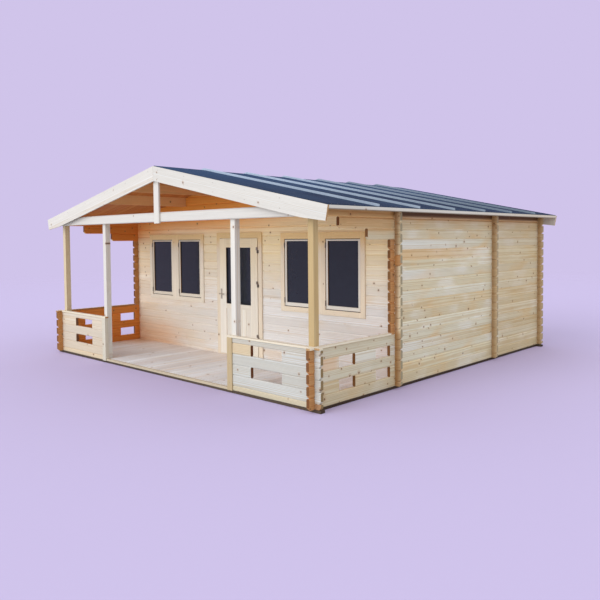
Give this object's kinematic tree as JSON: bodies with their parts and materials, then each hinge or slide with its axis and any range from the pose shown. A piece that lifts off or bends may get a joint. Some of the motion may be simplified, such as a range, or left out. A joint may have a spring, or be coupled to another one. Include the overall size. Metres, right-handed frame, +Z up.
{
  "type": "log cabin",
  "caption": "Gabled cabin of squared pine logs with crossing corners, a railed front porch under the roof, paired casement windows and a half-glazed door.",
  "frame": {"origin": "middle of the plan, on the ground under the bearers", "axes": "+Z up, front with the porch facing -Y, +X to the right seen from the front"},
  "size_m": [6.504, 6.103, 3.008],
  "materials": {
    "treated_timber": "rough sawn, dark treated",
    "floor_boards": "planed",
    "deck_boards": "planed, pale",
    "log_pine": "planed, unfinished",
    "planed_pine": "planed, pale",
    "roof_boards": "planed",
    "roof_covering": "matt, dark blue grey",
    "roof_ribs": "matt, pale blue grey",
    "joinery_pine": "planed",
    "window_glass": "clear, dark room behind",
    "handle_steel": "satin",
    "hinge_steel": "satin"
  },
  "bodies": {
    "cabin": {"end_bearers": "treated_timber", "side_bearers": "treated_timber", "cross_bearers": "treated_timber", "cabin_floor": "floor_boards", "porch_deck": "deck_boards", "porch_sill": "planed_pine", "left_logs_odd": "log_pine", "left_logs_even": "log_pine", "right_logs_odd": "log_pine", "right_logs_even": "log_pine", "front_logs_odd": "log_pine", "front_logs_even": "log_pine", "partition_logs_odd": "log_pine", "partition_logs_even": "log_pine", "rear_logs_odd": "log_pine", "rear_logs_even": "log_pine", "rail_logs_odd": "log_pine", "rail_logs_even": "log_pine", "rail_caps": "planed_pine", "rail_stiles": "planed_pine", "porch_posts": "planed_pine", "tie_beam": "planed_pine", "king_post": "planed_pine", "ridge_purlin": "log_pine", "side_purlins": "log_pine", "left_roof_boards": "roof_boards", "right_roof_boards": "roof_boards", "left_covering": "roof_covering", "right_covering": "roof_covering", "left_ribs": "roof_ribs", "right_ribs": "roof_ribs", "front_barge_boards": "planed_pine", "rear_barge_boards": "planed_pine", "eave_boards": "planed_pine", "window_frames": "joinery_pine", "window_sashes": "joinery_pine", "window_panes": "window_glass", "door_frame": "joinery_pine", "frame_hinges": "hinge_steel"},
    "door": {"door_leaf": "joinery_pine", "door_pane": "window_glass", "door_handle": "handle_steel", "leaf_hinges": "hinge_steel"}
  },
  "joints": [
    {"name": "door_hinge", "type": "hinge", "parent": "cabin", "child": "door", "pos_m": [0.429, -1.4685, 0], "axis": [0, 0, 1], "range_deg": [0, 160]}
  ]
}
